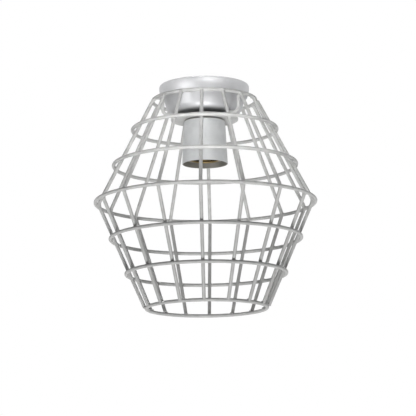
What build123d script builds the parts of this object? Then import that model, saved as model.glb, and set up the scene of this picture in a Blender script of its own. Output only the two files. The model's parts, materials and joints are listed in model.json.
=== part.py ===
from build123d import *
import os
from math import atan2, cos, radians, sin

# Caged ceiling light: a welded wire shade on a spun ceiling canopy with a screw lamp holder.
# Millimetres, +Z up, origin at the centre of the canopy's face on the ceiling.

# Wire shade
wire_dia = 3.5
rib_count = 16
shoulder_flare = 54.7
skirt_taper = 46.6
rib_bend_radius = 9.0
top_ring_z = -15.9
shoulder_ring_z = (-45.7, -82.2)
rib_corner_z = -119.7
skirt_ring_z = (-156.7, -192.2)
bottom_ring_z = -226.7
end_ring_inset = 1.0
weld_gap = 0.02
butt_gap = 0.05

# Fitter that carries the shade: three bent arms on a round plate
arm_count = 3
arm_first_angle = -37.5
arm_bowl_gap = 1.9
arm_reach = 7.5
arm_top_bend = 3.5
arm_bottom_bend = 5.5
arm_inner_radius = 14.0
plate_radius = 34.0
plate_thickness = 1.2

# Canopy
canopy_radius = 45.5
canopy_wall = 1.0
canopy_lip_width = 4.9
canopy_lip_round = 2.4
rim_height = 13.4
rim_band_height = 5.6
rim_band_round = 12.0
rim_taper = 2.2
rim_foot_round = 1.4
ledge_width = 2.4
bowl_neck_round = 1.0
bowl_taper = 4.4
bowl_foot_round = 9.5
canopy_height = 30.7

# Hollow nipple and its nuts
nipple_radius = 4.95
nipple_wall = 1.2
nut_across_flats = 14.0
nut_height = 3.7
nut_play = 0.05
hole_play = 0.25
nipple_stand_out = 0.5
washer_radius = 8.8
washer_thickness = 0.7

# Ceiling bracket: a strap with a dropped middle
bracket_end_gap = 2.6
bracket_width = 16.0
bracket_thickness = 1.5
bracket_drop = 14.0
bracket_bend_radius = 1.0
slot_end_margin = 6.0
slot_step_gap = 3.0
slot_length = 8.0
slot_width = 4.5

# Terminal block and earth screw on the bracket
block_nut_gap = 2.4
block_step_gap = 1.5
block_width = 17.0
block_height = 11.5
block_round = 1.0
way_spacing = 8.4
tube_depth = 3.5
tube_outer_radius = 2.25
tube_bore_radius = 1.6
tube_play = 0.05
clamp_radius = 1.2
clamp_inset = 3.2
block_screw_radius = 1.4
block_screw_depth = 5.0
earth_screw_radius = 1.9
earth_washer_radius = 4.4
earth_washer_thickness = 0.8
head_height = 2.2
head_ratio = 1.8
screw_play = 0.1

# Lamp holder
holder_wall = 6.9
cup_flare = 2.2
cup_height = 44.4
cup_wall = 1.2
cup_round = 2.0
yoke_gap = 0.4
yoke_width = 11.0
yoke_thickness = 1.5
core_gap = 0.4
terminal_gap = 0.6
core_floor = 5.0
core_recess = 4.7
core_screw_edge = 1.7
core_screw_radius = 1.0
core_boss_radius = 2.1
counterbore_depth = 3.0
shell_radius = 13.9
shell_wall = 0.5
shell_neck_step = 1.5
shell_neck_height = 3.4
shell_shoulder = 1.2
shell_flange = 2.4
shell_floor_width = 3.4
shell_stud_inset = 2.0
shell_play = 0.15
stud_radius = 1.2
contact_width = 6.0
contact_thickness = 0.5
contact_gap = 0.8
contact_foot = 4.2
contact_reach = 6.0
contact_spring = 2.8
terminal_length = 6.0
terminal_width = 8.0
terminal_height = 5.5
terminal_hole_depth = 5.0

# Insulated leads from the terminal block to the lamp holder
lead_radius = 0.9
lead_offset = 1.3
lead_turn = 4.5
lead_straight = 4.5
lead_jog_turn = 5.0
lead_end_depth = 3.5

# Radii and places that follow from the sizes above
wire_radius = wire_dia / 2
lip_radius = canopy_radius - canopy_lip_width
rim_foot_radius = canopy_radius - rim_taper
bowl_neck_radius = rim_foot_radius - ledge_width
bowl_foot_radius = bowl_neck_radius - bowl_taper
arm_leg_radius = bowl_neck_radius + arm_bowl_gap + wire_radius
top_ring_radius = arm_leg_radius + arm_reach
rib_top_radius = top_ring_radius + end_ring_inset
rib_corner_radius = rib_top_radius + shoulder_flare
rib_bottom_radius = rib_corner_radius - skirt_taper
bottom_ring_radius = rib_bottom_radius - end_ring_inset
nipple_bore_radius = nipple_radius - nipple_wall
nut_corner_radius = nut_across_flats / 2 / cos(radians(30))
bracket_half_length = lip_radius - bracket_end_gap
slot_x = bracket_half_length - slot_end_margin
bracket_step_x = slot_x - slot_length / 2 - slot_step_gap
block_x = nut_corner_radius + block_nut_gap
block_length = bracket_step_x - block_step_gap - block_x
earth_x = -(nut_corner_radius + bracket_step_x) / 2
lead_jog_x = block_x - lead_straight
cup_top_radius = shell_radius + holder_wall
cup_mouth_radius = cup_top_radius + cup_flare
core_radius = cup_top_radius - cup_wall - core_gap
yoke_half_length = cup_top_radius - cup_round - yoke_gap
core_screw_offset = yoke_half_length - core_screw_edge
core_drop = yoke_thickness + nut_height + terminal_height + terminal_gap
shell_neck_radius = shell_radius - shell_neck_step
shell_floor_inner = shell_neck_radius - shell_floor_width
shell_stud_y = -shell_floor_inner - shell_stud_inset
contact_base = shell_floor_inner - contact_gap
contact_knee = contact_base - contact_foot
contact_tip = contact_knee - contact_reach
contact_stud_y = contact_base - stud_radius
terminal_y = (contact_stud_y - shell_stud_y) / 2

# Heights of the stack on the nipple, from the ceiling down
bracket_top = -bracket_drop
bracket_under = bracket_top - bracket_thickness
nipple_top = bracket_top + nut_height + nipple_stand_out
canopy_under = -canopy_height
plate_top = canopy_under - nut_height
plate_under = plate_top - plate_thickness
cup_top = plate_under - washer_thickness
cup_inside = cup_top - cup_wall
cup_mouth = cup_top - cup_height
yoke_under = cup_inside - yoke_thickness
nipple_end = yoke_under - nut_height - nipple_stand_out
core_top = cup_inside - core_drop
core_floor_z = core_top - core_floor
core_under = cup_mouth + core_recess
shell_end = core_under - shell_play
tube_z = bracket_top + block_height - tube_depth
terminal_hole_z = core_top + terminal_height / 2

# Wire shade geometry in the plane of one rib
upper_slope = atan2(rib_corner_radius - rib_top_radius, top_ring_z - rib_corner_z)
lower_slope = atan2(rib_corner_radius - rib_bottom_radius, rib_corner_z - bottom_ring_z)
bend_in = rib_bend_radius * (sin(upper_slope) + sin(lower_slope)) / sin(upper_slope + lower_slope)
bend_up = rib_bend_radius * (cos(upper_slope) - cos(lower_slope)) / sin(upper_slope + lower_slope)
arm_z = plate_top + wire_radius + weld_gap


def rib_radius_at(z):
    """Centreline radius of a rib's straight leg at height z."""
    if z > rib_corner_z:
        return rib_corner_radius - (z - rib_corner_z) * sin(upper_slope) / cos(upper_slope)
    return rib_corner_radius - (rib_corner_z - z) * sin(lower_slope) / cos(lower_slope)


def outer_ring_radius(z):
    """Radius of a ring welded on the outer side of the ribs at height z."""
    slope = upper_slope if z > rib_corner_z else lower_slope
    return rib_radius_at(z) + (wire_dia + weld_gap) / cos(slope)


def rib_end(radius, z, slope, up):
    """Square-cut end of a rib, set back so that it butts on the end ring. up is 1 at the top end."""
    set_back = wire_radius + weld_gap - end_ring_inset * sin(slope)
    return (radius + set_back * sin(slope), 0, z - up * set_back * cos(slope))


def wire_ring(radius, z):
    """Closed ring of round wire."""
    return Pos(0, 0, z) * Torus(radius, wire_radius)


def wire_along(points, bends, radius):
    """Round wire along straight runs joined by tangent bends."""
    path = FilletPolyline(*points, radius=bends)
    start = Plane(origin=path @ 0, z_dir=path % 0)
    return sweep(start * Circle(radius), path=path)


def sheet_section(line, wall):
    """Section of a bent sheet: its upper or outer line, thickened to the other side."""
    return Face(Wire(line.edges()).offset_2d(-wall, side=Side.RIGHT, closed=True))


def spun_shell(points, rounds, wall):
    """Revolved sheet: the outer line of its section, thickened towards the inside."""
    line = FilletPolyline(*[(r, 0, z) for r, z in points], radius=rounds)
    return revolve(sheet_section(line, wall), Axis.Z)


def tube(radius, bore, top, bottom):
    """Round tube or washer standing on the axis between two heights."""
    height = top - bottom
    return Pos(0, 0, (top + bottom) / 2) * (Cylinder(radius, height) - Cylinder(bore, height))


def rod(radius, x, y, top, bottom):
    """Upright round rod between two heights."""
    return Pos(x, y, (top + bottom) / 2) * Cylinder(radius, top - bottom)


def hex_nut(top):
    """Nut on the nipple, its upper face at the given height."""
    blank = extrude(RegularPolygon(nut_across_flats / 2, 6, major_radius=False), -nut_height)
    bore = rod(nipple_radius + nut_play, 0, 0, 0, -nut_height)
    return Pos(0, 0, top) * (blank - bore)


def screw(x, y, seat, length, radius, up):
    """Pan-head screw: head on the seat's near side, shank through it. up is 1 with the head on top."""
    head = Pos(x, y, seat + up * head_height / 2) * Cylinder(radius * head_ratio, head_height)
    shank = Pos(x, y, seat - up * length / 2) * Cylinder(radius, length)
    return head + shank


# Wire shade: rings, then ribs cut to the end rings, then the fitter
top_ring = wire_ring(top_ring_radius, top_ring_z)
bottom_ring = wire_ring(bottom_ring_radius, bottom_ring_z)
waist_radius = rib_corner_radius - bend_in + rib_bend_radius + wire_dia + weld_gap
waist_ring = wire_ring(waist_radius, rib_corner_z + bend_up)
shoulder_rings = [wire_ring(outer_ring_radius(z), z) for z in shoulder_ring_z]
skirt_rings = [wire_ring(outer_ring_radius(z), z) for z in skirt_ring_z]

rib_points = [
    rib_end(rib_bottom_radius, bottom_ring_z, lower_slope, -1),
    (rib_corner_radius, 0, rib_corner_z),
    rib_end(rib_top_radius, top_ring_z, upper_slope, 1),
]
rib = wire_along(rib_points, rib_bend_radius, wire_radius)
ribs = [Rot(0, 0, 360 * k / rib_count) * rib for k in range(rib_count)]

arm_points = [
    (top_ring_radius - wire_radius - butt_gap, 0, top_ring_z),
    (arm_leg_radius, 0, top_ring_z),
    (arm_leg_radius, 0, arm_z),
    (arm_inner_radius, 0, arm_z),
]
arm = wire_along(arm_points, [arm_top_bend, arm_bottom_bend], wire_radius)
arms = [Rot(0, 0, arm_first_angle + 360 * k / arm_count) * arm for k in range(arm_count)]
fitter_plate = tube(plate_radius, nipple_radius + hole_play, plate_top, plate_under)

# Canopy: turned-in lip on the ceiling, upright rim band, rim tapering in below it, ledge and bowl
canopy_line = [
    (lip_radius, 0),
    (canopy_radius, 0),
    (canopy_radius, -rim_band_height),
    (rim_foot_radius, -rim_height),
    (bowl_neck_radius, -rim_height),
    (bowl_foot_radius, canopy_under),
    (nipple_radius + hole_play, canopy_under),
]
canopy_rounds = [canopy_lip_round, rim_band_round, rim_foot_round, bowl_neck_round, bowl_foot_round]
canopy = spun_shell(canopy_line, canopy_rounds, canopy_wall)

# Nipple, nuts and lock washer
nipple = tube(nipple_radius, nipple_bore_radius, nipple_top, nipple_end)
nut_tops = [bracket_top + nut_height, bracket_under, canopy_under, yoke_under]
nipple_nuts = [hex_nut(top) for top in nut_tops]
lock_washer = tube(washer_radius, nipple_radius + hole_play, plate_under, cup_top)

# Ceiling bracket
outer_bend = bracket_bend_radius + bracket_thickness
strap_line = FilletPolyline(
    (-bracket_half_length, 0, 0),
    (-bracket_step_x, 0, 0),
    (-bracket_step_x, 0, bracket_top),
    (bracket_step_x, 0, bracket_top),
    (bracket_step_x, 0, 0),
    (bracket_half_length, 0, 0),
    radius=[outer_bend, bracket_bend_radius, bracket_bend_radius, outer_bend],
)
strap_section = sheet_section(strap_line, bracket_thickness)
ceiling_bracket = extrude(strap_section, bracket_width / 2, both=True)
slot_cut = extrude(SlotOverall(slot_length, slot_width), -bracket_thickness)
block_middle = block_x + block_length / 2
for side in (-1, 1):
    ceiling_bracket -= Pos(side * slot_x, 0, 0) * slot_cut
ceiling_bracket -= rod(nipple_radius + nut_play, 0, 0, bracket_top, bracket_under)
ceiling_bracket -= rod(block_screw_radius + screw_play, block_middle, 0, bracket_top, bracket_under)
ceiling_bracket -= rod(earth_screw_radius + screw_play, earth_x, 0, bracket_top, bracket_under)

# Terminal block with two brass tubes and their clamp screws
block_body = Pos(block_middle, 0, bracket_top + block_height / 2) * Box(block_length, block_width, block_height)
terminal_block = fillet(block_body.edges().filter_by(Axis.Z), block_round)
block_tubes = []
clamp_screws = []
clamp_tip = tube_z + lead_radius + screw_play
block_roof = bracket_top + block_height
for side in (-1, 1):
    way_y = side * way_spacing / 2
    lay = Pos(block_middle, way_y, tube_z) * Rot(0, 90, 0)
    tube_blank = Cylinder(tube_outer_radius, block_length) - Cylinder(tube_bore_radius, block_length)
    brass_tube = lay * tube_blank
    terminal_block -= lay * Cylinder(tube_outer_radius + tube_play, block_length)
    for clamp_x in (block_x + clamp_inset, block_x + block_length - clamp_inset):
        hole = rod(clamp_radius + screw_play, clamp_x, way_y, block_roof, tube_z)
        terminal_block -= hole
        brass_tube -= hole
        clamp_screws.append(rod(clamp_radius, clamp_x, way_y, block_roof - screw_play, clamp_tip))
    block_tubes.append(brass_tube)
terminal_block -= rod(block_screw_radius + screw_play, block_middle, 0,
                      bracket_top + block_screw_depth + screw_play, bracket_top)
block_screw = screw(block_middle, 0, bracket_under, bracket_thickness + block_screw_depth,
                    block_screw_radius, -1)

# Earth screw with its washer on the bracket
earth_seat = bracket_top + earth_washer_thickness
earth_washer = Pos(earth_x, 0, 0) * tube(earth_washer_radius, earth_screw_radius + screw_play,
                                         earth_seat, bracket_top)
earth_screw = screw(earth_x, 0, earth_seat, earth_washer_thickness + bracket_thickness + head_height,
                    earth_screw_radius, 1)

# Lamp holder: metal cup, yoke, ceramic core
cup_line = [
    (nipple_radius + hole_play, cup_top),
    (cup_top_radius, cup_top),
    (cup_mouth_radius, cup_mouth),
]
holder_cup = spun_shell(cup_line, [cup_round], cup_wall)
holder_yoke = Pos(0, 0, yoke_under) * extrude(SlotOverall(2 * yoke_half_length, yoke_width), yoke_thickness)
holder_yoke -= rod(nipple_radius + nut_play, 0, 0, cup_inside, yoke_under)

ceramic_core = rod(core_radius, 0, 0, core_top, core_under)
ceramic_core -= rod(shell_radius + shell_play, 0, 0, core_floor_z, core_under)
ceramic_core -= rod(stud_radius + screw_play, 0, contact_stud_y, core_top, core_floor_z)
ceramic_core -= rod(stud_radius + screw_play, 0, shell_stud_y, core_top, core_floor_z)
core_screws = []
head_seat = core_under + counterbore_depth
for side in (-1, 1):
    screw_x = side * core_screw_offset
    ceramic_core += rod(core_boss_radius, screw_x, 0, yoke_under, core_top)
    ceramic_core -= rod(core_screw_radius + screw_play, screw_x, 0, yoke_under, core_under)
    ceramic_core -= rod(core_screw_radius * head_ratio + screw_play, screw_x, 0, head_seat, core_under)
    holder_yoke -= rod(core_screw_radius + nut_play, screw_x, 0, cup_inside, yoke_under)
    core_screws.append(screw(screw_x, 0, head_seat, cup_inside - head_seat - screw_play, core_screw_radius, -1))

# Brass screw shell with its floor, its rivet stud and a flange on the core, notched for the core screws
neck_end = core_floor_z - shell_neck_height
shell_line = [
    (shell_floor_inner, core_floor_z),
    (shell_neck_radius, core_floor_z),
    (shell_neck_radius, neck_end),
    (shell_radius, neck_end - shell_shoulder),
    (shell_radius, shell_end),
    (shell_radius + shell_flange, shell_end),
]
shell_rounds = 3 * [2 * shell_wall] + [shell_play]
screw_shell = spun_shell(shell_line, shell_rounds, shell_wall)
screw_shell += rod(stud_radius, 0, shell_stud_y, core_top, core_floor_z - shell_wall)
for side in (-1, 1):
    screw_shell -= rod(core_screw_radius * head_ratio + screw_play, side * core_screw_offset, 0,
                       shell_end, shell_end - shell_wall)

# Sprung centre contact with its rivet stud
contact_top = [
    (0, contact_base, core_floor_z),
    (0, contact_knee, core_floor_z),
    (0, contact_tip, core_floor_z - contact_spring),
]
contact_section = sheet_section(Polyline(*contact_top), contact_thickness)
centre_contact = extrude(contact_section, contact_width / 2, both=True)
centre_contact += rod(stud_radius, 0, contact_stud_y, core_top, core_floor_z - contact_thickness)

# Brass terminals on the core, with clamp screws
holder_terminals = []
holder_clamp_tip = terminal_hole_z + lead_radius + screw_play
terminal_top = core_top + terminal_height
for side in (-1, 1):
    middle_y = side * terminal_y
    body = Pos(0, middle_y, core_top + terminal_height / 2) * Box(terminal_width, terminal_length, terminal_height)
    near_y = side * (terminal_y - terminal_length / 2)
    bore_middle = near_y + side * terminal_hole_depth / 2
    bore = Pos(0, bore_middle, terminal_hole_z) * Rot(90, 0, 0) * Cylinder(tube_bore_radius, terminal_hole_depth)
    hole = rod(clamp_radius + screw_play, 0, middle_y, terminal_top, terminal_hole_z)
    holder_terminals.append(body - bore - hole)
    clamp_screws.append(rod(clamp_radius, 0, middle_y, terminal_top - screw_play, holder_clamp_tip))


def lead(side):
    """Insulated lead: out of the terminal block, down the nipple, into the holder's terminal."""
    y = side * lead_offset
    way_y = side * way_spacing / 2
    end_y = side * (terminal_y - terminal_length / 2 + lead_end_depth)
    points = [
        (block_x + lead_end_depth, way_y, tube_z),
        (lead_jog_x, way_y, tube_z),
        (0, y, tube_z),
        (0, y, terminal_hole_z),
        (0, end_y, terminal_hole_z),
    ]
    return wire_along(points, [lead_jog_turn, lead_turn, lead_turn], lead_radius)


# One file for each piece
nodes = {
    "canopy": [canopy],
    "ceiling_bracket": [ceiling_bracket],
    "nipple": [nipple],
    "nipple_nuts": nipple_nuts,
    "lock_washer": [lock_washer],
    "fitter_plate": [fitter_plate],
    "top_ring": [top_ring],
    "waist_ring": [waist_ring],
    "bottom_ring": [bottom_ring],
    "terminal_block": [terminal_block],
    "block_tubes": block_tubes,
    "clamp_screws": clamp_screws,
    "block_screw": [block_screw],
    "earth_screw": [earth_screw],
    "earth_washer": [earth_washer],
    "live_lead": [lead(1)],
    "neutral_lead": [lead(-1)],
    "holder_cup": [holder_cup],
    "holder_yoke": [holder_yoke],
    "ceramic_core": [ceramic_core],
    "core_screws": core_screws,
    "screw_shell": [screw_shell],
    "centre_contact": [centre_contact],
    "holder_terminals": holder_terminals,
}
for k, piece in enumerate(shoulder_rings, 1):
    nodes[f"shoulder_ring_{k}"] = [piece]
for k, piece in enumerate(skirt_rings, 1):
    nodes[f"skirt_ring_{k}"] = [piece]
for k, piece in enumerate(ribs, 1):
    nodes[f"rib_{k:02d}"] = [piece]
for k, piece in enumerate(arms, 1):
    nodes[f"fitter_arm_{k}"] = [piece]

os.makedirs("parts", exist_ok=True)
for name, pieces in nodes.items():
    solids = [solid for piece in pieces for solid in piece.solids()]
    export_step(Compound(solids) if len(solids) > 1 else solids[0], f"parts/{name}.step")
print(len(nodes), "nodes")
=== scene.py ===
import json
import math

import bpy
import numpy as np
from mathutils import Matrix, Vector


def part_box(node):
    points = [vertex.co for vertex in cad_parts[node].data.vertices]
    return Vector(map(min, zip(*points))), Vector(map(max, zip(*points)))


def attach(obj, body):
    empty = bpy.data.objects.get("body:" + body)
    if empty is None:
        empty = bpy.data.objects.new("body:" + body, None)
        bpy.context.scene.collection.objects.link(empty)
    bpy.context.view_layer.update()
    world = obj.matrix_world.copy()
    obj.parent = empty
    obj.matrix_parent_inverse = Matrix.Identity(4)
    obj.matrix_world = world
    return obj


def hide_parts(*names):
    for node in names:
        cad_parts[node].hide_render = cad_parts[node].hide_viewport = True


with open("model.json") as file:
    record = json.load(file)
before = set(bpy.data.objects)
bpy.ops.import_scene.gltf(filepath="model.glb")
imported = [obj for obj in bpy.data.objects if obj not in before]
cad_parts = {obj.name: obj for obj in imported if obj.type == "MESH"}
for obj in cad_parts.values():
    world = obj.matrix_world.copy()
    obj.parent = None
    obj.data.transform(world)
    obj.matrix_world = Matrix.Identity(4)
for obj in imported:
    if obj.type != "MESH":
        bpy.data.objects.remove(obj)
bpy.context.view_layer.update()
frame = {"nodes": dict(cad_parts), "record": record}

# %% [markdown]
# # A caged ceiling light
# The light is a spun canopy on the ceiling, a lamp holder under it and a welded wire shade round both.
# The solids come packed as a fixed frame, in metres, with the origin at the centre of the canopy's face
# on the ceiling and +Z up. This lesson adds what the solids leave out: welds, threads, screw heads,
# finishes, light and the camera.

nodes = frame["nodes"]
record = frame["record"]

# %% [markdown]
# ## Measures read from the frame
# A weld sits where a rib crosses a ring, so its place follows from the rings. Each ring's box gives its
# wire and its radius, and two rings on one slope give the slope of the ribs between them. Reading the
# places from the frame keeps this lesson right when the solids change.

# %% Rings and slopes
RIB_COUNT = sum(name.startswith("rib_") for name in nodes)


def ring_circle(name):
    """Radius and height of a ring's centreline and its wire's radius, from the ring's box."""
    low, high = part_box(name)
    wire = (high[2] - low[2]) / 2
    return high[0] - wire, (high[2] + low[2]) / 2, wire


def slope_between(upper, lower):
    """Angle from the vertical of the line through two rings, in the plane of one rib."""
    r_upper, z_upper, _ = ring_circle(upper)
    r_lower, z_lower, _ = ring_circle(lower)
    return math.atan2(r_lower - r_upper, z_upper - z_lower)


WIRE = ring_circle("waist_ring")[2]
SHOULDER_SLOPE = slope_between("shoulder_ring_1", "shoulder_ring_2")
SKIRT_SLOPE = slope_between("skirt_ring_1", "skirt_ring_2")
print("wire", round(WIRE * 2000, 2), "mm, slopes",
      round(math.degrees(SHOULDER_SLOPE), 1), round(math.degrees(SKIRT_SLOPE), 1))

# %% [markdown]
# ## Camera
# The light was looked up at from a little below its waist, from about two metres, so the cage shows
# nearly without perspective. The camera turns a few degrees off the plane of a rib, which puts the front
# rib just left of the middle and the back rib just right of it. A small shift frames the object.

# %% Camera
IMAGE_SIZE = 416
SENSOR_WIDTH = 36
FOCAL_PIXELS = 2136
CAMERA_DISTANCE = 2.142
LOOK_UP = math.radians(10.55)
TURN = math.radians(-87.6)
ROLL = math.radians(-0.7)
WAIST_PIXEL = (205.5, 202.5)

waist = Vector((0, 0, ring_circle("waist_ring")[1]))
away = Vector((math.cos(LOOK_UP) * math.cos(TURN), math.cos(LOOK_UP) * math.sin(TURN), -math.sin(LOOK_UP)))
camera_data = bpy.data.cameras.new("camera")
camera_data.sensor_width = SENSOR_WIDTH
camera_data.lens = SENSOR_WIDTH * FOCAL_PIXELS / IMAGE_SIZE
camera_data.shift_x = (IMAGE_SIZE / 2 - WAIST_PIXEL[0]) / IMAGE_SIZE
camera_data.shift_y = (WAIST_PIXEL[1] - IMAGE_SIZE / 2) / IMAGE_SIZE
camera = bpy.data.objects.new("camera", camera_data)
bpy.context.collection.objects.link(camera)
turned = (-away).to_track_quat("-Z", "Y").to_matrix() @ Matrix.Rotation(ROLL, 3, "Z")
camera.matrix_world = Matrix.Translation(waist + CAMERA_DISTANCE * away) @ turned.to_4x4()
bpy.context.scene.camera = camera
print("lens", round(camera_data.lens, 1), "mm at", [round(v, 3) for v in camera.location])

# %% [markdown]
# ## Surfaces from arrays
# Every added piece is a stack of closed loops: a weld is a stack of circles, a screw head too. Whole
# arrays of points are worked out at once and joined by quads. Where a stack ends, a centre point closes
# it, and where it comes back to its start it is closed on itself. A body whose signed volume comes out
# negative has its faces turned round, so all faces point outwards.

# %% Stacks of loops
SHARP_ANGLE = math.radians(30)


def stack_faces(rows, columns, joined):
    """Quads between neighbouring loops, the last loop joined to the first if asked."""
    row = np.arange(rows if joined else rows - 1)[:, None] * columns
    column = np.arange(columns)[None, :]
    after = (column + 1) % columns
    above = (row + columns) % (rows * columns)
    quads = np.stack([row + column, row + after, above + after, above + column], axis=-1)
    return quads.reshape(-1, 4)


def end_fans(rows, columns, first_centre, last_centre):
    """Triangles from the first and the last loop to their centre points."""
    column = np.arange(columns)
    after = (column + 1) % columns
    last = (rows - 1) * columns
    bottom = np.stack([after, column, np.full(columns, first_centre)], axis=-1)
    top = np.stack([last + column, last + after, np.full(columns, last_centre)], axis=-1)
    return np.concatenate([bottom, top])


def stack_volume(loops):
    """Signed volume under a stack of loops: a sixth of the sum of the triangles' triple products."""
    a, b = loops[:-1], np.roll(loops, -1, axis=1)[:-1]
    c, d = np.roll(loops, -1, axis=1)[1:], loops[1:]
    first = np.einsum("ijk,ijk->", a, np.cross(b, c))
    return (first + np.einsum("ijk,ijk->", a, np.cross(c, d))) / 6


def stacked_piece(name, stacks, joined=False):
    """One mesh from stacks of loops, each an array of rows by columns by xyz, ridden on the light."""
    points, faces = [], []
    for loops in stacks:
        start = sum(len(block) for block in points)
        rows, columns, _ = loops.shape
        if stack_volume(loops - loops.mean(axis=(0, 1))) < 0:
            loops = loops[:, ::-1]
        points.append(loops.reshape(-1, 3))
        faces += (stack_faces(rows, columns, joined) + start).tolist()
        if not joined:
            points.append(np.stack([loops[0].mean(axis=0), loops[-1].mean(axis=0)]))
            first_centre = rows * columns
            fans = end_fans(rows, columns, first_centre, first_centre + 1)
            faces += (fans + start).tolist()
    mesh = bpy.data.meshes.new(name)
    mesh.from_pydata(np.concatenate(points).tolist(), [], faces)
    mesh.polygons.foreach_set("use_smooth", np.ones(len(mesh.polygons), dtype=bool))
    mesh.set_sharp_from_angle(angle=SHARP_ANGLE)
    mesh.update()
    piece = bpy.data.objects.new(name, mesh)
    bpy.context.collection.objects.link(piece)
    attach(piece, "root")
    print(name, len(mesh.vertices), "points")
    return piece


# %% [markdown]
# ## Welds of the shade
# Spot welding leaves a small nugget where two wires are pressed together. On the real shade it shows as
# a thickening at each crossing. A nugget is an ellipsoid on the point of contact, wider along the two
# wires than across them, and each ring's nuggets are one piece. They differ a little in size, as hand
# welds do, from a fixed random seed.

# %% Weld nuggets
NUGGET_ROWS, NUGGET_COLUMNS = 9, 18
RIB_ANGLES = [2 * math.pi * k / RIB_COUNT for k in range(RIB_COUNT)]
WELD_SEED = 7
SIZE_SPREAD = (0.92, 1.08)
chance = np.random.default_rng(WELD_SEED)


def ellipsoid(centre, axes):
    """Stack of loops on an ellipsoid: centre + sin(v)(cos(u) a + sin(u) b) + cos(v) c."""
    v = np.linspace(0, np.pi, NUGGET_ROWS + 2)[1:-1, None, None]
    u = np.linspace(0, 2 * np.pi, NUGGET_COLUMNS, endpoint=False)[None, :, None]
    a, b, c = axes
    return centre + np.sin(v) * (np.cos(u) * a + np.sin(u) * b) + np.cos(v) * c


def rib_plane(angle):
    """Outward, sideways and upward unit vectors in the plane of a rib."""
    outward = np.array([math.cos(angle), math.sin(angle), 0])
    sideways = np.array([-math.sin(angle), math.cos(angle), 0])
    return outward, sideways, np.array([0, 0, 1.0])


def weld_nuggets(name, ring, tilt, offset, sizes, angles=RIB_ANGLES):
    """Nuggets of one ring, at some angles round it.

    The tilt turns the joint's normal up from outward, and the offset goes along it from the ring's
    centreline. Sizes are the half-axes along the normal, round the ring and along the rib.
    """
    radius, height, _ = ring_circle(ring)
    stacks = []
    for angle in angles:
        outward, sideways, upward = rib_plane(angle)
        normal = math.cos(tilt) * outward + math.sin(tilt) * upward
        along = math.cos(tilt) * upward - math.sin(tilt) * outward
        centre = radius * outward + height * upward + offset * normal
        grow = sizes * chance.uniform(*SIZE_SPREAD, 3)
        stacks.append(ellipsoid(centre, (grow[0] * normal, grow[1] * sideways, grow[2] * along)))
    return stacked_piece(name, stacks)


CROSS_SIZES = np.array([0.62, 1.22, 1.22]) * WIRE
END_SIZES = np.array([0.7, 1.12, 1.12]) * WIRE
welds = []
for ring, tilt in (("shoulder_ring_1", SHOULDER_SLOPE), ("shoulder_ring_2", SHOULDER_SLOPE),
                   ("waist_ring", 0), ("skirt_ring_1", SKIRT_SLOPE), ("skirt_ring_2", SKIRT_SLOPE)):
    welds.append(weld_nuggets("welds_" + ring, ring, tilt, -WIRE, CROSS_SIZES))
for ring, tilt in (("top_ring", SHOULDER_SLOPE - math.pi / 2), ("bottom_ring", SKIRT_SLOPE + math.pi / 2)):
    welds.append(weld_nuggets("welds_" + ring, ring, tilt, WIRE, END_SIZES))

# %% [markdown]
# ## Welds of the fitter
# The three bent arms that carry the shade butt against the top ring and lie on the fitter plate. A weld
# closes each butt joint, and a bead runs along both sides of an arm near the plate's edge. The arms' own
# boxes give their angles, so the welds follow them.

# %% Fitter welds
BEAD_LENGTH = 0.009
BEAD_SETBACK = 0.6
BEAD_LIFT = 0.25
BEAD_HALF_WIDTH = 0.62
BEAD_HALF_HEIGHT = 0.6
BEAD_SPACING = 0.85
arms = [name for name in nodes if name.startswith("fitter_arm_")]
arm_boxes = [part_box(name) for name in arms]
ARM_ANGLES = [math.atan2(low[1] + high[1], low[0] + high[0]) for low, high in arm_boxes]
welds.append(weld_nuggets("welds_arms", "top_ring", 0, -WIRE, END_SIZES, ARM_ANGLES))


def plate_beads(name):
    """Two half-sunk ellipsoids on the fitter plate at each arm, one along each side of the wire.

    The setback is a share of the bead's length, and the other measures are shares of the wire's radius.
    """
    _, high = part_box("fitter_plate")
    stacks = []
    for angle in ARM_ANGLES:
        outward, sideways, upward = rib_plane(angle)
        foot = (high[0] - BEAD_SETBACK * BEAD_LENGTH) * outward + (high[2] + BEAD_LIFT * WIRE) * upward
        axes = (BEAD_LENGTH / 2 * outward, BEAD_HALF_WIDTH * WIRE * sideways,
                BEAD_HALF_HEIGHT * WIRE * upward)
        stacks += [ellipsoid(foot + side * BEAD_SPACING * WIRE * sideways, axes) for side in (-1, 1)]
    return stacked_piece(name, stacks)


welds.append(plate_beads("welds_fitter_plate"))

# %% [markdown]
# ## Thread of the socket
# The brass shell of a lamp socket is rolled into a coarse round thread, seven turns to the inch. The solid
# shell has a smooth wall, so a thin liner carries the thread: its inner radius is a cosine of height that
# advances by one turn of phase round the axis. The record's own mount gives its radius and its length.

# %% Socket thread
THREAD_PITCH = 0.00363
THREAD_DEPTH = 0.0009
THREAD_PLAY = 0.00004
THREAD_MEAN, THREAD_SWING = 0.55, 0.45
THREAD_ROWS, THREAD_COLUMNS = 90, 72


def thread_liner(mount):
    """Closed stack: r = bore - depth (mean - swing cos(2 pi z / pitch - u)) inside, r = bore outside."""
    bore = mount["dims"]["r_mm"] / 1000 - THREAD_PLAY
    half = mount["dims"]["length_mm"] / 2000
    z = np.linspace(-half, half, THREAD_ROWS)[:, None] + mount["pos_m"][2]
    u = np.linspace(0, 2 * np.pi, THREAD_COLUMNS, endpoint=False)[None, :]
    wave = THREAD_MEAN - THREAD_SWING * np.cos(2 * np.pi * z / THREAD_PITCH - u)
    inside = bore - THREAD_DEPTH * wave
    radius = np.concatenate([inside, np.full((2, THREAD_COLUMNS), bore)])
    height = np.concatenate([z, z[[-1, 0]]])
    x, y = radius * np.cos(u), radius * np.sin(u)
    return np.stack([x, y, np.broadcast_to(height, x.shape)], axis=-1)


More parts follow.
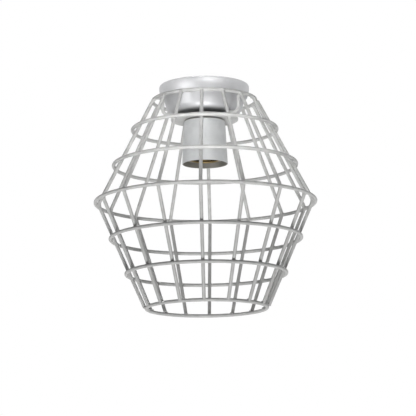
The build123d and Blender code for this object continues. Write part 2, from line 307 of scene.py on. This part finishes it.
socket_mount = next(mount for mount in record["mounts"] if mount["name"] == "lamp_socket")
socket_thread = stacked_piece("socket_thread", [thread_liner(socket_mount)], joined=True)

# %% [markdown]
# ## Slotted screws
# The solids of the screws are plain turned rods. Here each gets a slotted end: a turned body up to the
# slot's floor, and two D-shaped halves on it that leave the slot between them. A half's outline is an arc
# and its chord, and its top edge is eased inwards. The old solid's own points give the place and the size
# of each screw, seen from above, so a node that holds six screws is replaced by six.

# %% Slotted screws
HEAD_HEIGHT = 0.0022
HEAD_RATIO = 1.8
SLOT_SHARE = 0.22
SLOT_DEPTH_SHARE = 0.45
EASE_IN, EASE_DOWN = 0.88, 0.25
TIP_SHARE, TIP_LENGTH = 0.7, 0.3
ARC_POINTS, CHORD_POINTS = 15, 5
TURN_POINTS = 32


def turned_body(x, y, line):
    """Stack of circles about a vertical line through x, y, from pairs of radius and height."""
    radius, height = np.array(line).T[:, :, None]
    u = np.linspace(0, 2 * np.pi, TURN_POINTS, endpoint=False)
    ring_x = x + radius * np.cos(u)
    return np.stack([ring_x, y + radius * np.sin(u), np.broadcast_to(height, ring_x.shape)], axis=-1)


def head_half(x, y, radius, side, floor, top):
    """Stack of D-shaped loops, an arc of the head and its chord, with the top edge eased inwards."""
    gap = SLOT_SHARE * radius
    reach = math.acos(gap / radius)
    u = np.linspace(-reach, reach, ARC_POINTS)
    chord = np.linspace(1, -1, CHORD_POINTS + 2)[1:-1] * radius * math.sin(reach)
    outline = np.stack([np.concatenate([radius * np.cos(u), np.full(CHORD_POINTS, gap)]),
                        np.concatenate([radius * np.sin(u), chord])], axis=-1)
    eased = outline.mean(axis=0) + EASE_IN * (outline - outline.mean(axis=0))
    rows = [(outline, floor), (outline, top - EASE_DOWN * (top - floor)), (eased, top)]
    loops = [np.column_stack([x + side * flat[:, 0], y + flat[:, 1], np.full(len(flat), z)])
             for flat, z in rows]
    return np.stack(loops)


def slotted_screw(x, y, head_radius, head_end, tip, head_ratio):
    """Stacks of one upright screw: body up to the slot's floor, then two halves. A ratio of 1 has no head."""
    way = math.copysign(1, head_end - tip)
    seat = head_end - way * HEAD_HEIGHT
    floor = head_end - way * SLOT_DEPTH_SHARE * HEAD_HEIGHT
    shank = head_radius / head_ratio
    under_head = [(shank, seat), (head_radius, seat)] if head_ratio > 1 else []
    point = [(TIP_SHARE * shank, tip), (shank, tip + way * TIP_LENGTH * shank)]
    halves = [head_half(x, y, head_radius, side, floor, head_end) for side in (-1, 1)]
    return [turned_body(x, y, point + under_head + [(head_radius, floor)])] + halves


def rod_boxes(node, reach):
    """Boxes of the upright rods in one node: points within reach of one point, seen from above, are a rod."""
    points = np.empty(3 * len(nodes[node].data.vertices))
    nodes[node].data.vertices.foreach_get("co", points)
    points = points.reshape(-1, 3)
    boxes = []
    while len(points):
        near = np.hypot(*(points[:, :2] - points[0, :2]).T) < reach
        boxes.append((points[near].min(axis=0), points[near].max(axis=0)))
        points = points[~near]
    return boxes


def replace_screws(node, reach, heads_up=True, head_ratio=HEAD_RATIO):
    """Slotted screws in place of every upright rod of a node."""
    stacks = []
    for low, high in rod_boxes(node, reach):
        x, y, _ = (low + high) / 2
        head_end, tip = (high[2], low[2]) if heads_up else (low[2], high[2])
        stacks += slotted_screw(x, y, (high[0] - low[0]) / 2, head_end, tip, head_ratio)
    piece = stacked_piece("slotted_" + node, stacks)
    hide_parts(node)
    return piece


WIDE_REACH, NARROW_REACH = 0.009, 0.004
screws = [replace_screws("earth_screw", WIDE_REACH),
          replace_screws("block_screw", WIDE_REACH, heads_up=False),
          replace_screws("core_screws", WIDE_REACH, heads_up=False),
          replace_screws("clamp_screws", NARROW_REACH, head_ratio=1)]

# %% [markdown]
# ## Finishes
# Every finish is one Principled shader with small procedural patterns on Object coordinates, which are
# the frame's own metres. Values that are the same all over are set on the shader's sockets. A helper
# makes a node and sets its inputs by name, so each finish below reads as a short list.

# %% Helpers for finishes
TONE_FROM, TONE_TO = 0.3, 0.7


def new_finish(name, metallic):
    """Material with a Principled shader, its metallic share set on the shader's own socket."""
    material = bpy.data.materials.new(name)
    material.use_nodes = True
    shader = material.node_tree.nodes["Principled BSDF"]
    shader.inputs["Metallic"].default_value = metallic
    return material, shader


def add_node(material, kind, settings=None, **inputs):
    """Node of a kind, with settings as attributes and inputs as values or links from sockets."""
    node = material.node_tree.nodes.new("ShaderNode" + kind)
    for key, value in (settings or {}).items():
        setattr(node, key, value)
    for key, value in inputs.items():
        socket = node.inputs[key.replace("_", " ")]
        if isinstance(value, bpy.types.NodeSocket):
            material.node_tree.links.new(value, socket)
        else:
            socket.default_value = value
    return node


def object_place(material):
    """Position on the piece in the frame's metres."""
    return add_node(material, "TexCoord").outputs["Object"]


def lathe_place(material):
    """Position as distance from the light's axis and height, the same all the way round."""
    place = object_place(material)
    flat = add_node(material, "VectorMath", {"operation": "MULTIPLY"})
    material.node_tree.links.new(place, flat.inputs[0])
    flat.inputs[1].default_value = (1, 1, 0)
    reach = add_node(material, "VectorMath", {"operation": "LENGTH"})
    material.node_tree.links.new(flat.outputs["Vector"], reach.inputs[0])
    height = add_node(material, "SeparateXYZ", Vector=place).outputs["Z"]
    return add_node(material, "CombineXYZ", X=reach.outputs["Value"], Z=height).outputs["Vector"]


def two_tones(material, amount, dark, light):
    """Colour between a dark and a light tone by a pattern from 0 to 1."""
    ramp = add_node(material, "ValToRGB", Fac=amount)
    ramp.color_ramp.elements[0].position = TONE_FROM
    ramp.color_ramp.elements[1].position = TONE_TO
    ramp.color_ramp.elements[0].color = (*dark, 1)
    ramp.color_ramp.elements[1].color = (*light, 1)
    return ramp.outputs["Color"]


def tint(material, shader, amount, dark, light):
    """Base colour of two tones by a pattern from 0 to 1."""
    material.node_tree.links.new(two_tones(material, amount, dark, light), shader.inputs["Base Color"])


def vary(material, socket, amount, low, high):
    """Socket value between low and high by a pattern from 0 to 1."""
    spread = add_node(material, "MapRange", Value=amount, To_Min=low, To_Max=high)
    material.node_tree.links.new(spread.outputs["Result"], socket)


def raise_surface(material, shader, amount, depth, strength):
    """Bump of a depth in metres by a pattern from 0 to 1."""
    bump = add_node(material, "Bump", Height=amount, Distance=depth, Strength=strength)
    material.node_tree.links.new(bump.outputs["Normal"], shader.inputs["Normal"])


def tell(material):
    """Prints a finish's name and how many nodes it has."""
    print(material.name, len(material.node_tree.nodes), "nodes")


# %% [markdown]
# ## Silver paint of the shade
# The wires carry a thin silver lacquer: metal flakes in a clear binder, so it shines softly without a
# sharp mirror image. A medium noise varies the tone along the wires and a fine one gives the slight
# orange-peel of sprayed paint.

# %% Silver paint
shade_paint, shader = new_finish("shade_paint", metallic=0.06)
shader.inputs["Specular IOR Level"].default_value = 0.02
cloud = add_node(shade_paint, "TexNoise", Vector=object_place(shade_paint), Scale=140, Detail=4)
grain = add_node(shade_paint, "TexNoise", Vector=object_place(shade_paint), Scale=1500, Detail=2)
tint(shade_paint, shader, cloud.outputs["Fac"], dark=(0.545, 0.545, 0.535), light=(0.635, 0.635, 0.625))
vary(shade_paint, shader.inputs["Roughness"], grain.outputs["Fac"], low=0.36, high=0.5)
raise_surface(shade_paint, shader, grain.outputs["Fac"], depth=0.00005, strength=0.35)
tell(shade_paint)

# %% [markdown]
# ## Spun aluminium of the canopy
# A canopy is spun from sheet on a lathe, then buffed. Fine rings are left all the way round, so the
# pattern reads only distance from the axis and height. The marks change the roughness and stand some
# micrometres high, which softens the highlights.

# %% Spun aluminium
canopy_metal, shader = new_finish("canopy_metal", metallic=1.0)
rings = add_node(canopy_metal, "TexNoise", Vector=lathe_place(canopy_metal), Scale=2600, Detail=3)
cloud = add_node(canopy_metal, "TexNoise", Vector=object_place(canopy_metal), Scale=55, Detail=3)
tint(canopy_metal, shader, cloud.outputs["Fac"], dark=(0.50, 0.505, 0.515), light=(0.57, 0.57, 0.58))
vary(canopy_metal, shader.inputs["Roughness"], rings.outputs["Fac"], low=0.44, high=0.6)
raise_surface(canopy_metal, shader, rings.outputs["Fac"], depth=0.00003, strength=0.4)
tell(canopy_metal)

# %% [markdown]
# ## Satin metal of the lamp holder
# The cup is brushed and lacquered outside. Inside it is bare metal, given a dark tone as painted shade in
# the recess, and its closed top has the same dark tone as a painted shadow of the gap under the fitter
# plate. It has the canopy's ring pattern, finer and rougher. Inside and outside are told apart by the
# distance from the axis: on the outer wall, distance plus flare times height is one constant, and inside
# it is less by the wall. The top is told apart by height alone.

# %% Satin cup
CUP_FLARE = 0.0022
CUP_WALL = 0.0012
CUP_TOP_ROUND = 0.0024
WALL_FROM, WALL_TO = 0.7, 0.3
TOP_FROM, TOP_TO = 0.4, 0.6


def cup_outside(material):
    """Pattern that is 1 on the outer wall of the cup and 0 inside it and on its closed top, where shade is
    painted.
    """
    low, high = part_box("holder_cup")
    flare = CUP_FLARE / (high[2] - low[2])
    split = add_node(material, "SeparateXYZ", Vector=lathe_place(material))
    lean = add_node(material, "Math", {"operation": "MULTIPLY_ADD"})
    material.node_tree.links.new(split.outputs["Z"], lean.inputs[0])
    lean.inputs[1].default_value = flare
    material.node_tree.links.new(split.outputs["X"], lean.inputs[2])
    outer = high[0] + flare * low[2]
    wall = add_node(material, "MapRange", Value=lean.outputs["Value"],
                    From_Min=outer - WALL_FROM * CUP_WALL, From_Max=outer - WALL_TO * CUP_WALL)
    below_top = add_node(material, "MapRange", Value=split.outputs["Z"],
                         From_Min=high[2] - TOP_FROM * CUP_TOP_ROUND,
                         From_Max=high[2] - TOP_TO * CUP_TOP_ROUND)
    both = add_node(material, "Math", {"operation": "MULTIPLY"})
    material.node_tree.links.new(wall.outputs["Result"], both.inputs[0])
    material.node_tree.links.new(below_top.outputs["Result"], both.inputs[1])
    return both.outputs["Value"]


cup_metal, shader = new_finish("cup_metal", metallic=0.45)
rings = add_node(cup_metal, "TexNoise", Vector=lathe_place(cup_metal), Scale=3400, Detail=4)
cloud = add_node(cup_metal, "TexNoise", Vector=object_place(cup_metal), Scale=90, Detail=3)
lacquer = two_tones(cup_metal, cloud.outputs["Fac"], dark=(0.555, 0.565, 0.57), light=(0.625, 0.635, 0.64))
# Dark tone inside the cup and on its top: bare metal with painted shade in the recess, and a painted shadow
# of the gap on the top.
bare_with_painted_shade = two_tones(cup_metal, cloud.outputs["Fac"], dark=(0.20, 0.195, 0.175), light=(0.27, 0.265, 0.24))
side = add_node(cup_metal, "MixRGB", Fac=cup_outside(cup_metal), Color1=bare_with_painted_shade, Color2=lacquer)
cup_metal.node_tree.links.new(side.outputs["Color"], shader.inputs["Base Color"])
vary(cup_metal, shader.inputs["Roughness"], rings.outputs["Fac"], low=0.46, high=0.62)
raise_surface(cup_metal, shader, rings.outputs["Fac"], depth=0.00003, strength=0.5)
tell(cup_metal)

# %% [markdown]
# ## Steel, brass, ceramic, plastic and lead sleeves
# The hidden hardware has plain workshop finishes. Zinc plate is mottled, brass has a warm bloom, the
# ceramic core is glazed with faint specks, and the connector and the sleeves are dull plastics. The
# threaded liner of the socket is brass painted nearly black, as painted shade deep inside the socket. One
# function makes them all from two tones, a roughness and the size of their grain.

# %% Hardware finishes
MOTTLE_RATIO = 6
SMOOTHER, ROUGHER = 0.85, 1.2
GRAIN_STRENGTH = 0.5


def plain_finish(name, metallic, roughness, dark, light, grain_scale, grain_depth):
    """Finish of two mottled tones with a fine grain that also varies the roughness."""
    material, bsdf = new_finish(name, metallic)
    mottle_scale = grain_scale / MOTTLE_RATIO
    mottle = add_node(material, "TexNoise", Vector=object_place(material), Scale=mottle_scale, Detail=3)
    fine = add_node(material, "TexNoise", Vector=object_place(material), Scale=grain_scale, Detail=2)
    tint(material, bsdf, mottle.outputs["Fac"], dark, light)
    vary(material, bsdf.inputs["Roughness"], fine.outputs["Fac"], roughness * SMOOTHER, roughness * ROUGHER)
    raise_surface(material, bsdf, fine.outputs["Fac"], grain_depth, GRAIN_STRENGTH)
    tell(material)
    return material


finishes = {
    "shade_paint": shade_paint,
    "canopy_aluminium": canopy_metal,
    "holder_metal": cup_metal,
    "steel": plain_finish("zinc_steel", metallic=1.0, roughness=0.36, dark=(0.52, 0.53, 0.54),
        light=(0.62, 0.62, 0.61), grain_scale=1400, grain_depth=0.00002),
    "brass": plain_finish("dull_brass", metallic=1.0, roughness=0.34, dark=(0.25, 0.18, 0.075),
        light=(0.34, 0.25, 0.115), grain_scale=900, grain_depth=0.00001),
    "ceramic": plain_finish("glazed_ceramic", metallic=0.0, roughness=0.16, dark=(0.78, 0.76, 0.71),
        light=(0.84, 0.83, 0.79), grain_scale=1800, grain_depth=0.00001),
    "block_plastic": plain_finish("connector_plastic", metallic=0.0, roughness=0.5, dark=(0.70, 0.70, 0.66),
        light=(0.76, 0.76, 0.72), grain_scale=2200, grain_depth=0.00002),
    "live_insulation": plain_finish("brown_sleeve", metallic=0.0, roughness=0.45, dark=(0.10, 0.05, 0.025),
        light=(0.14, 0.07, 0.035), grain_scale=1500, grain_depth=0.00001),
    "neutral_insulation": plain_finish("blue_sleeve", metallic=0.0, roughness=0.45, dark=(0.02, 0.06, 0.26),
        light=(0.03, 0.09, 0.34), grain_scale=1500, grain_depth=0.00001),
}


def dress(piece, slot):
    """Gives a piece the finish of one of the record's material slots."""
    piece.data.materials.clear()
    piece.data.materials.append(finishes[slot])


for entry in record["subparts"]:
    dress(nodes[entry["node"]], entry["material_slot"])
for weld in welds:
    dress(weld, "shade_paint")
for piece in screws:
    dress(piece, "steel")
# Brass of the thread liner, painted nearly black as painted shade deep inside the socket.
shaded_socket_brass = plain_finish("tarnished_brass", metallic=1.0, roughness=0.4, dark=(0.035, 0.025, 0.012),
                         light=(0.07, 0.05, 0.025), grain_scale=900, grain_depth=0.00001)
socket_thread.data.materials.append(shaded_socket_brass)
print(len(finishes), "finishes")

# %% [markdown]
# ## Floor and background
# A pale round floor lies far below the light, as in a room. The background is white to the camera and in
# reflections by means of the Light Path node, at a strength of 1, so the page is white without any more
# light on the object. The floor glows there a little less, so that a shadow can still fall on it. Diffuse
# rays see the floor's own paint and a dim grey world instead.

# %% White to the eye


def seen_directly(tree):
    """Factor that is 1 for camera, glossy and transmission rays and 0 for the rest."""
    path = tree.nodes.new("ShaderNodeLightPath")
    either = path.outputs["Is Camera Ray"]
    for kind in ("Is Glossy Ray", "Is Transmission Ray"):
        larger = tree.nodes.new("ShaderNodeMath")
        larger.operation = "MAXIMUM"
        tree.links.new(either, larger.inputs[0])
        tree.links.new(path.outputs[kind], larger.inputs[1])
        either = larger.outputs["Value"]
    return either


# %% Floor
FLOOR_HEIGHT = -2.7
FLOOR_RADIUS = 6.8
FLOOR_POINTS = 128
FLOOR_ROUGHNESS = 0.8
SHADOW_SHARE = 0.25
floor_mesh = bpy.data.meshes.new("floor")
turn = np.linspace(0, 2 * np.pi, FLOOR_POINTS, endpoint=False)
edge = np.column_stack([FLOOR_RADIUS * np.cos(turn), FLOOR_RADIUS * np.sin(turn),
                        np.full(FLOOR_POINTS, FLOOR_HEIGHT)])
floor_mesh.from_pydata(edge.tolist(), [], [list(range(FLOOR_POINTS))])
floor = bpy.data.objects.new("floor", floor_mesh)
bpy.context.collection.objects.link(floor)
floor_paint, shader = new_finish("floor_paint", metallic=0.0)
shader.inputs["Roughness"].default_value = FLOOR_ROUGHNESS
cloud = add_node(floor_paint, "TexNoise", Vector=object_place(floor_paint), Scale=3, Detail=2)
tint(floor_paint, shader, cloud.outputs["Fac"], dark=(0.80, 0.80, 0.80), light=(0.84, 0.84, 0.84))
shader.inputs["Emission Color"].default_value = (1, 1, 1, 1)
vary(floor_paint, shader.inputs["Emission Strength"], seen_directly(floor_paint.node_tree),
     low=0, high=1 - SHADOW_SHARE)
floor.data.materials.append(floor_paint)
tell(floor_paint)

# %% World
WORLD_TINT = (0.94, 0.96, 1.0, 1)
WORLD_STRENGTH = 0.055
world = bpy.data.worlds.new("studio")
bpy.context.scene.world = world
world.use_nodes = True
tree = world.node_tree
surround = tree.nodes["Background"]
surround.inputs["Color"].default_value = WORLD_TINT
surround.inputs["Strength"].default_value = WORLD_STRENGTH
white = tree.nodes.new("ShaderNodeBackground")
white.inputs["Color"].default_value = (1, 1, 1, 1)
mix = tree.nodes.new("ShaderNodeMixShader")
tree.links.new(seen_directly(tree), mix.inputs["Fac"])
tree.links.new(surround.outputs["Background"], mix.inputs[1])
tree.links.new(white.outputs["Background"], mix.inputs[2])
tree.links.new(mix.outputs["Shader"], tree.nodes["World Output"].inputs["Surface"])
print("world", WORLD_STRENGTH, "to diffuse rays")

# %% [markdown]
# ## Lamps
# The rings of the light have bright undersides and dark tops, so the main box stands low in front. Two
# boxes with grids, which narrow their beams, give the canopy its highlight and its rim, and show in
# reflections only. Three small gridded glows near the front are left out of reflections: one on the
# waist, one on the shoulder and a narrow one from above on the front rib. A weak box above, a narrow spot
# into the open canopy and two boxes behind the sides keep the other views readable.

# %% Lamps


def soft_box(name, place, width, height, watts, target=waist, spread=180, on_paint=True, in_metal=True):
    """Rectangular area lamp at a place, turned to a target, with its beam's spread in degrees.

    A lamp that isn't on paint is left out of diffuse rays, one that isn't in metal out of glossy rays.
    """
    lamp_data = bpy.data.lights.new(name, "AREA")
    lamp_data.shape = "RECTANGLE"
    lamp_data.size = width
    lamp_data.size_y = height
    lamp_data.energy = watts
    lamp_data.spread = math.radians(spread)
    lamp = bpy.data.objects.new(name, lamp_data)
    bpy.context.collection.objects.link(lamp)
    facing = (target - Vector(place)).to_track_quat("-Z", "Y")
    lamp.matrix_world = Matrix.Translation(place) @ facing.to_matrix().to_4x4()
    lamp.visible_camera = False
    lamp.visible_diffuse = on_paint
    lamp.visible_glossy = in_metal
    print(name, watts, "W")


high_up = Vector((0, 0, 0.2))
soft_box("left_box", place=(-1.25, -1.25, -0.45), width=1.3, height=0.35, watts=0.9,
         target=high_up, spread=40, on_paint=False)
soft_box("rim_box", place=(0.3, -1.2, 0.2), width=1.4, height=0.15, watts=1.05,
         target=high_up, spread=30, on_paint=False)
soft_box("waist_glow", place=(0, -0.35, -0.12), width=0.6, height=0.12, watts=0.09,
         target=Vector((0, 0, 0.007)), spread=56, in_metal=False)
soft_box("shoulder_glow", place=(0, -0.24, -0.06), width=0.6, height=0.12, watts=0.16,
         target=Vector((0, 0, -0.018)), spread=72, in_metal=False)
soft_box("brow_glow", place=(0, -0.30, 0.42), width=0.14, height=0.08, watts=0.0095,
         target=Vector((0, -0.075, -0.045)), spread=15, in_metal=False)
soft_box("under_box", place=(0.0, -1.15, -1.5), width=0.6, height=0.6, watts=22)
soft_box("top_box", place=(0.2, 0.3, 1.3), width=1.0, height=1.0, watts=1.2)
soft_box("canopy_spot", place=(0, 0, 0.5), width=0.06, height=0.06, watts=0.006, spread=12)
soft_box("back_left_box", place=(-1.3, 1.0, -0.5), width=1.0, height=1.0, watts=11, in_metal=False)
soft_box("back_right_box", place=(1.3, 1.0, -0.5), width=1.0, height=1.0, watts=11, in_metal=False)

# %% [markdown]
# ## View transform
# The welds, the thread and the screws lie inside the outer rings and the canopy's face. The plain view
# transform keeps white at white.

# %% View transform
bpy.context.scene.view_settings.view_transform = "Standard"
